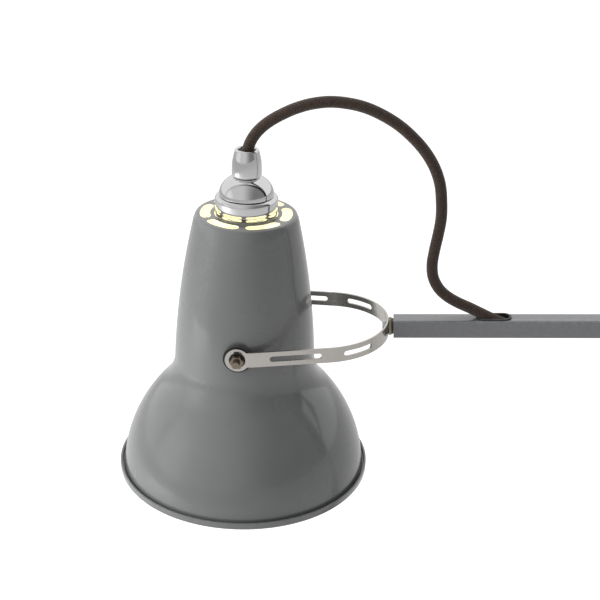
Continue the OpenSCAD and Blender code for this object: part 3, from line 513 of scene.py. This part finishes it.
def makeSpring(name, kind, way, node):
    s = springs
    outer, plain = kind["outer"], kind["plain"]
    offset = Vector((0, way * kind["across"], 0))
    low, high = (shoulder + Vector(kind[k]) + offset for k in ("foot", "head"))
    length, ahead = (high - low).length, (high - low).normalized()
    turn = ahead.to_track_quat("Z", "Y").to_matrix().to_4x4()
    radius = outer / 2 - s["wire"] / 2
    body = length - 2 * plain
    turns = int(body / (s["wire"] * s["packing"]))
    pitch = body / turns
    shape = bmesh.new()
    bmesh.ops.create_circle(shape, segments=s["wireSides"], radius=s["wire"] / 2,
                            matrix=Matrix.Translation((radius, 0, plain)) @ Matrix.Rotation(math.pi / 2, 4, "X"))
    bmesh.ops.spin(shape, geom=shape.verts[:] + shape.edges[:], cent=(0, 0, 0), axis=(0, 0, 1),
                   dvec=(0, 0, pitch / s["around"]), angle=math.tau, steps=s["around"])
    oneTurn = shape.verts[:] + shape.edges[:] + shape.faces[:]
    for k in range(1, turns):
        made = bmesh.ops.duplicate(shape, geom=oneTurn)["geom"]
        moved = [g for g in made if isinstance(g, bmesh.types.BMVert)]
        bmesh.ops.translate(shape, vec=(0, 0, pitch * k), verts=moved)
    bmesh.ops.remove_doubles(shape, verts=shape.verts, dist=1e-6)
    bmesh.ops.holes_fill(shape, edges=shape.edges, sides=s["wireSides"])
    bmesh.ops.transform(shape, matrix=Matrix.Translation(low) @ turn, verts=shape.verts)
    along = turn.to_3x3()
    sideways = along.inverted() @ Vector((0, 1, 0))
    for foot, sign in ((Vector((0, 0, 0)), 1), (Vector((0, 0, length)), -1)):
        # the hook is a loop round its pin, then a run back to the coil's rim
        flat = sideways.cross(Vector((0, 0, 1))).normalized()
        loop = [foot + (flat * math.sin(t) - Vector((0, 0, sign)) * math.cos(t)) * s["hookEye"]
                for t in [math.radians(20 * k - 150) for k in range(16)]]
        start = Vector((radius, 0, plain if sign > 0 else length - plain))
        bend = loop[-1] * 0.4 + start * 0.6
        line = smoothLine([low + along @ p for p in loop + [bend, start]], 0.0012)
        addTube(shape, line, s["wire"] / 2, s["wireSides"], side=tuple(along @ sideways))
    piece = finishPiece(name, shape, None, finish["springWire"], sharp=60, stands=[node])
    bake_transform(piece)


makeSpring("springLeft", sideSpring, -1, "spring_left")
makeSpring("springRight", sideSpring, 1, "spring_right")
makeSpring("springCentre", centreSpring, 0, "spring_centre")
print("springs made")


# ---- shade: one spun wall with vents in its top and a lip turned out and up

shade = {"topRadius": 29.4, "topHeight": 71.8, "edgeRound": 1.6, "holeRadius": 18.2, "waistRadius": 41.5,
         "waistHeight": -15.5, "bulge": 2, "flareRadius": 30, "flareDrop": 0.6, "bellSlope": 6, "rimRadius": 76.1,
         "rimHeight": -93, "lipHeight": 5.2, "lipGap": 1.4, "lipWall": 1.2, "wall": 1.0, "lean": 3.3, "steps": 180,
         "vent": (20.6, 26.4, 25.5)}
onHead = Matrix.Translation(pivot)
onShade = onHead @ Matrix.Rotation(math.radians(shade["lean"]), 4, "Y")


def ventRadii(vent, parts=10):
    return [vent[0] + (vent[1] - vent[0]) * i / parts for i in range(parts + 1)]


def cutVents(shape, height, vent):
    # six kidney slots: the grid's columns are drawn round to full-round ends, then the faces inside go
    inner, outer, half = vent
    middle, wide = (inner + outer) / 2 * mm, (outer - inner) / 2 * mm
    inside = set()
    for v in shape.verts:
        r = math.hypot(v.co.x, v.co.y)
        if abs(v.co.z - height * mm) > 1e-6 or abs(r - middle) > wide + 1e-6:
            continue
        angle = math.degrees(math.atan2(v.co.y, v.co.x))
        near = angle - 60 * round(angle / 60)
        reach = wide - math.sqrt(max(wide ** 2 - (r - middle) ** 2, 0))
        end, col = half - math.degrees(reach / middle), 26
        if abs(near) < col + 0.01:
            moved = near * end / col
            inside.add(v)
        else:
            moved = math.copysign(30 - (30 - abs(near)) * (30 - end) / (30 - col), near)
        turn = math.radians(angle - near + moved)
        v.co.x, v.co.y = r * math.cos(turn), r * math.sin(turn)
    gone = [f for f in shape.faces if all(v in inside for v in f.verts)]
    bmesh.ops.delete(shape, geom=gone, context="FACES")


def shadeOutline():
    s = shade
    top, waist = Vector((s["topRadius"], s["topHeight"])), Vector((s["waistRadius"], s["waistHeight"]))
    side = waist - top
    outward = Vector((side.y, -side.x)).normalized() * -1
    sideRadius = side.length_squared / 8 / s["bulge"] + s["bulge"] / 2
    sideCentre = top + side / 2 - outward * (sideRadius - s["bulge"])
    ends = [math.degrees(math.atan2(*reversed(p - sideCentre))) for p in (top, waist)]
    bellEnd = Vector((s["rimRadius"] - s["lipWall"] - s["lipGap"] - 0.2, s["rimHeight"] + s["lipHeight"]))
    slope = math.radians(s["bellSlope"])
    way = Vector((math.cos(slope), math.sin(slope)))
    flareCentre = Vector((s["waistRadius"] + s["flareRadius"], s["waistHeight"] - s["flareDrop"]))
    gap = flareCentre - bellEnd
    bellRadius = (gap.length_squared - s["flareRadius"] ** 2) / 2 / (s["flareRadius"] - gap.dot(way))
    bellCentre = bellEnd - way * bellRadius
    flareEnd = math.degrees(math.atan2(*reversed(flareCentre - bellCentre)))
    edge = s["edgeRound"]
    foot, rise = bellEnd.x + 0.2, s["rimRadius"] - s["lipWall"]
    floor, corner = s["rimHeight"] + s["lipWall"], 0.45
    line = [(s["holeRadius"], top.y)] + [(r, top.y) for r in ventRadii(s["vent"])] + [(top.x - edge, top.y)]
    line += arcPoints((top.x - edge, top.y - edge), edge, 75, ends[0] + 3, 5)
    line += arcPoints(sideCentre, sideRadius, ends[0] - 0.4, ends[1], 22)
    line += arcPoints(flareCentre, s["flareRadius"], 180, 180 + flareEnd, 18)[1:]
    line += arcPoints(bellCentre, bellRadius, flareEnd, s["bellSlope"], 30)[1:]
    line += arcPoints((foot + corner, floor + corner), corner, 180, 270, 4)
    line += arcPoints((rise - corner, floor + corner), corner, 270, 360, 4)
    return line + [(rise, s["rimHeight"] + s["lipHeight"] - s["lipWall"] / 2)]


def makeShade():
    s = shade
    shape = spun(shadeOutline(), s["steps"])
    cutVents(shape, s["topHeight"], s["vent"])
    first = max(shape.faces, key=lambda f: f.calc_center_median().z)
    if first.normal.z < 0:
        bmesh.ops.reverse_faces(shape, faces=shape.faces)
    skin = set(shape.faces)
    bmesh.ops.solidify(shape, geom=shape.faces[:], thickness=s["wall"] * mm)
    lipFrom = (s["rimRadius"] - s["lipWall"] - s["lipGap"]) * mm
    for f in shape.faces:
        spot = f.calc_center_median()
        lip = math.hypot(spot.x, spot.y) > lipFrom and spot.z < (s["rimHeight"] + s["lipHeight"]) * mm
        inward = f.normal.dot(Vector((spot.x, spot.y, 0)).normalized()) < -0.05 or f.normal.z < -0.3
        inTop = spot.z > (s["topHeight"] - s["wall"] * 0.99) * mm
        inVents = math.hypot(spot.x, spot.y) < (s["topRadius"] - s["edgeRound"]) * mm
        ventWall = inTop and inVents and abs(f.normal.z) < 0.3 and f.calc_area() < 2e-6
        # inner faces and the vents' cut walls take the white inside enamel with its painted bulb glow, so the vent
        # walls show as lit
        f.material_index = 1 if (inward or ventWall) and f not in skin and not lip else 0
    return finishPiece("shade", shape, "shade", [finish["shadePaint"], finish["whitePaintAndGlow"]], onShade, 40,
                       ["shade_shell"])


makeShade()


# ---- gallery ring and plated cap on top of the shade

cap = {"skirtRadius": 18, "skirtFrom": 74.2, "domeFrom": 82.9, "domeRadius": 15.6, "gripFrom": 93.9,
       "gripTop": 109.9, "steps": 128, "gallery": (12.4, 16.8, 25), "ringRadii": (10.6, 17.6), "ringLift": 0.4,
       "ringWall": 1.4, "crownAngle": 62}


def makeCap():
    c, s = cap, shade
    top, steps = s["topHeight"], cap["steps"]
    # the ring stands a little proud of the shade's top
    radii = [c["ringRadii"][0]] + ventRadii(c["gallery"]) + [c["ringRadii"][1]]
    ring = spun([(r, top + c["ringLift"]) for r in radii], s["steps"])
    cutVents(ring, top + c["ringLift"], c["gallery"])
    if next(iter(ring.faces)).normal.z < 0:
        bmesh.ops.reverse_faces(ring, faces=ring.faces)
    face = set(ring.faces)
    bmesh.ops.solidify(ring, geom=ring.faces[:], thickness=c["ringWall"] * mm)
    # the ring's underside and inner edges take the white inside enamel with its painted bulb glow
    for f in ring.faces:
        inside = math.hypot(*f.calc_center_median().xy) < (c["ringRadii"][1] - 0.2) * mm
        f.material_index = 1 if inside and f not in face else 0
    piece = finishPiece("galleryRing", ring, "shade", [finish["shadePaint"], finish["whitePaintAndGlow"]], onShade, 30,
                        ["gallery_plate"])
    easeEdges(piece, 0.25, 50)
    # skirt: a turned cup with a rolled foot and a soft shoulder
    r, foot, head = c["skirtRadius"], c["skirtFrom"], c["domeFrom"]
    line = [(r - 1.3, foot + 0.3), (r - 1, foot)] + arcPoints((r - 0.6, foot + 0.5), 0.5, -90, 0, 4)
    line += [(r, foot + 2), (r, head - 2.6)] + arcPoints((r - 2.3, head - 2.5), 2.3, 0, 86, 10)
    line += [(11, head - 0.15), (11, head - 1.2), (r - 2.5, head - 1.3)]
    line += arcPoints((r - 2.7, head - 2.8), 1.6, 80, 0, 5) + [(r - 1.3, foot + 0.3)]
    finishPiece("capSkirt", spun(line, steps), "shade", finish["chrome"], onShade, 50, ["cap_skirt"])
    # dome: a low crown that rises to the grip's seat
    g, t, dome, last = c["gripFrom"], c["gripTop"], c["domeRadius"], math.radians(c["crownAngle"])
    rise = g - head
    crown = [(dome * math.cos(a), head + 0.5 + (rise - 0.5) * math.sin(a) / math.sin(last))
             for a in [last * i / 20 for i in range(21)]]
    line = [(14.2, head + 0.05), (dome - 0.3, head + 0.05), (dome, head + 0.3)] + crown
    line += [(6.9, g - 0.05), (4, g - 0.2), (4, g - 1.2), (6.5, g - 1.3), (14.2, head + 0.05)]
    finishPiece("capDome", spun(line, steps), "shade", finish["chrome"], onShade, 50, ["cap_dome"])
    # grip: a tapered collar with a dark rubber throat
    line = [(6.2, g + 0.05), (7.1, g + 0.05)] + arcPoints((7.0, g + 1.5), 1.45, -75, 0, 8)
    line += [(8.5, g + 2.4), (8.42, g + 6), (8.2, g + 9.2), (7.6, g + 12)]
    line += [(6.95, t - 1.3)] + arcPoints((5.75, t - 1.15), 1.15, 6, 96, 8)
    line += [(5.2, t - 0.3), (5.0, t - 0.9), (4.85, t - 3), (4.8, t - 5.5), (4.6, t - 6), (4.6, g + 1),
             (6.2, g + 0.05)]
    finishPiece("cordGrip", spun(line, steps), "shade", finish["chrome"], onShade, 50, ["cord_grip"])
    line = [(3.25, t - 1.6), (4.0, t - 1.3), (4.75, t - 1.9), (4.75, t - 5.6), (3.25, t - 5.6), (3.25, t - 1.6)]
    finishPiece("gripSleeve", spun(line, 64), "shade", finish["rubber"], onShade, 50)


makeCap()


# ---- bulb: an opal lamp, lit

bulb = {"neckRadius": 12.3, "neckTop": 25.3, "ballHeight": -27.7, "ballRadius": 30, "glow": 3.2,
        "neckLine": [(12.9, 11), (14.2, 17), (16.5, 23)]}     # (radius, drop) down the neck


def makeBulb():
    b = bulb
    neck, top = b["neckRadius"], b["neckTop"]
    line = [(neck - 0.8, top), (neck, top - 0.4), (neck, top - 6)] + [(r, top - z) for r, z in b["neckLine"]]
    line += arcPoints((0, b["ballHeight"]), b["ballRadius"], 46, -90, 24)
    shape = spun(line + [(0, b["ballHeight"] - b["ballRadius"])], 96)
    mat, tree, shader, where = newMaterial("opal_glass")
    cloud = addNode(tree, "Group", {"Vector": where, "Patch": 40, "Speck": 600}, node_tree=clouds)
    tone = addMix(tree, cloud.outputs["Patches"], (1.0, 0.86, 0.64, 1), (1.0, 0.9, 0.72, 1))
    tree.links.new(addMix(tree, cloud.outputs["Patches"], (0.9, 0.88, 0.82, 1), (0.95, 0.93, 0.88, 1)),
                   shader.inputs["Base Color"])
    tree.links.new(tone, shader.inputs["Emission Color"])
    tree.links.new(addRange(tree, cloud.outputs["Specks"], 0, 1, 0.2, 0.3), shader.inputs["Roughness"])
    shader.inputs["Emission Strength"].default_value = b["glow"]
    finishPiece("bulb", shape, "shade", mat, onShade, 60, ["bulb_glass"])


makeBulb()
print("shade, cap and bulb made")


# ---- pieces kept in the shape of their CAD nodes, with their edges eased

def carried(node, material, edge):
    # the node's triangles merged into whole faces, then a small round on every hard edge
    source, sharp = nodes[node], 32
    shape = bmesh.new()
    shape.from_mesh(source.data)
    bmesh.ops.remove_doubles(shape, verts=shape.verts, dist=2e-6)
    bmesh.ops.dissolve_limit(shape, angle_limit=math.radians(0.6), verts=shape.verts, edges=shape.edges)
    first, *rest = node.split("_")
    piece = finishPiece(first + "".join(w.capitalize() for w in rest) + "Piece", shape, source["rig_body"],
                        finish[material], sharp=sharp, stands=[node])
    easeEdges(piece, edge, sharp, harden=True)


easedEdges = {
    "base_cover": ("armPaint", 0.5), "turntable_plate": ("armPaint", 0.4), "cheek_left": ("armPaint", 0.35),
    "cheek_right": ("armPaint", 0.35), "lower_arm_tube": ("armPaint", 0.3), "upper_arm_tube": ("armPaint", 0.3),
    "elbow_plate_left": ("armPaint", 0.35), "elbow_plate_right": ("armPaint", 0.35),
    "base_plate": ("zinc", 0.2), "foot_pad": ("rubber", 0.4), "base_screws": ("zinc", 0.15),
    "swivel_spindle": ("steel", 0.2), "spindle_clip": ("zinc", 0.1), "cheek_screws": ("steel", 0.2),
    "spring_posts": ("steel", 0.25), "shoulder_bolt": ("steel", 0.25), "shoulder_nut": ("steel", 0.25),
    "shoulder_washers": ("steel", 0.15), "shoulder_knuckle": ("zinc", 0.3), "elbow_knuckle": ("zinc", 0.3),
    "lower_rivets": ("steel", 0.2), "cross_pin": ("steel", 0.25), "spring_anchor": ("zinc", 0.25),
    "crank_plates": ("zinc", 0.3), "crank_pins": ("steel", 0.25), "link_rod": ("steel", 0.2),
    "link_rod_eyes": ("zinc", 0.25), "elbow_bolt": ("steel", 0.25), "elbow_nut": ("steel", 0.25),
    "tail_pin": ("steel", 0.2), "plate_rivets": ("steel", 0.2), "tail_gland": ("rubber", 0.3),
    "flex_grommet": ("rubber", 0.3), "arm_end_plug": ("rubber", 0.2), "fork_band": ("forkSteel", 0.2),
    "fork_stud": ("steel", 0.2), "fork_washer": ("bronzed", 0.25), "fork_spacer": ("rubber", 0.15),
    "pivot_bushes": ("rubber", 0.25), "pivot_bolts": ("bronzed", 0.2), "pivot_nuts": ("bronzed", 0.3),
    "holder_neck": ("aluminium", 0.2), "lampholder": ("porcelain", 0.5), "screw_shell": ("brass", 0.1),
}
for node, (material, edge) in easedEdges.items():
    carried(node, material, edge)

# these shapes are right as they are and take a finish only
kept = {"base_weight": "castIron", "swivel_bush": "brass", "fibre_washers": "fibre", "arm_flex": "braid",
        "bulb_cap": "aluminium"}
for node, material in kept.items():
    nodes[node].data.materials.clear()
    nodes[node].data.materials.append(finish[material])
print("carried pieces made:", len(easedEdges) + len(kept))


# ---- floor and light

studio = {"floor": 0.62, "floorLift": 0.6, "frontLeft": 0.66, "frontRight": 0.22, "behind": 0.88, "gap": 0.015}


def addFloor():
    shape = bmesh.new()
    bmesh.ops.create_grid(shape, x_segments=1, y_segments=1, size=60)
    mat, tree, shader, where = newMaterial("pale_floor")
    cloud = addNode(tree, "Group", {"Vector": where, "Patch": 0.7, "Speck": 3.0}, node_tree=clouds)
    pale = studio["floor"]
    tree.links.new(addMix(tree, cloud.outputs["Patches"], coloured((pale,) * 3), coloured((pale,) * 3, 1.03)),
                   shader.inputs["Base Color"])
    shader.inputs["Roughness"].default_value = 0.9
    seen = addNode(tree, "LightPath").outputs["Is Camera Ray"]
    tree.links.new(addMix(tree, seen, (0.06, 0.06, 0.06, 1), coloured((studio["floorLift"],) * 3)),
                   shader.inputs["Emission Color"])
    shader.inputs["Emission Strength"].default_value = 1.0
    finishPiece("floor", shape, None, mat, Matrix.Translation((0, 0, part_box("foot_pad")[0].z)))


def addWorld():
    # a pale room: a soft panel in front, darker to the right, a thin dark gap at the sides, and a pale wall
    s = studio
    world = bpy.data.worlds.new("studio")
    scene.world = world
    world.use_nodes = True
    tree = world.node_tree
    way = addNode(tree, "SeparateXYZ", {0: tree.nodes.new("ShaderNodeTexCoord").outputs["Generated"]})
    x, y = way.outputs[0], way.outputs[1]
    front = addMix(tree, addRange(tree, x, -0.25, 0.65, smooth=True), coloured((s["frontLeft"],) * 3),
                   coloured((s["frontRight"],) * 3))
    front = addMix(tree, addRange(tree, x, -0.7, -0.9, smooth=True), front, coloured((s["behind"],) * 3))
    room = addMix(tree, addRange(tree, y, 0.0, 0.06, smooth=True), front, coloured((s["behind"],) * 3))
    off = addMath(tree, "ABSOLUTE", addMath(tree, "SUBTRACT", y, 0.02))
    gap = addMath(tree, "MULTIPLY", addRange(tree, off, 0.11, 0.05, smooth=True),
                  addRange(tree, x, -0.4, 0.4, 0.25, 1))
    seen = addNode(tree, "LightPath").outputs["Is Camera Ray"]
    tree.links.new(addMix(tree, seen, addMix(tree, gap, room, coloured((s["gap"],) * 3)), (1, 1, 1, 1)),
                   tree.nodes["Background"].inputs["Color"])
    tree.nodes["Background"].inputs["Strength"].default_value = 1.0


def addSoftbox(name, at, size, power):
    data = bpy.data.lights.new(name, "AREA")
    data.shape, data.size, data.size_y = "RECTANGLE", size[0], size[1]
    data.energy = power
    box = bpy.data.objects.new(name, data)
    scene.collection.objects.link(box)
    box.location = pivot + Vector(at)
    box.rotation_euler = (-Vector(at)).to_track_quat("-Z", "Y").to_euler()
    box.visible_glossy = False        # the room's own panels give the reflections


lights = {"left": ((-1.5, -0.45, 0.35), (0.9, 1.6), 22), "top": ((-0.2, 0.3, 1.8), (1.6, 1.2), 12)}
addFloor()
addWorld()
for name, (at, size, power) in lights.items():
    addSoftbox(name, at, size, power)
print("floor and lights made:", len(lights), "lights")
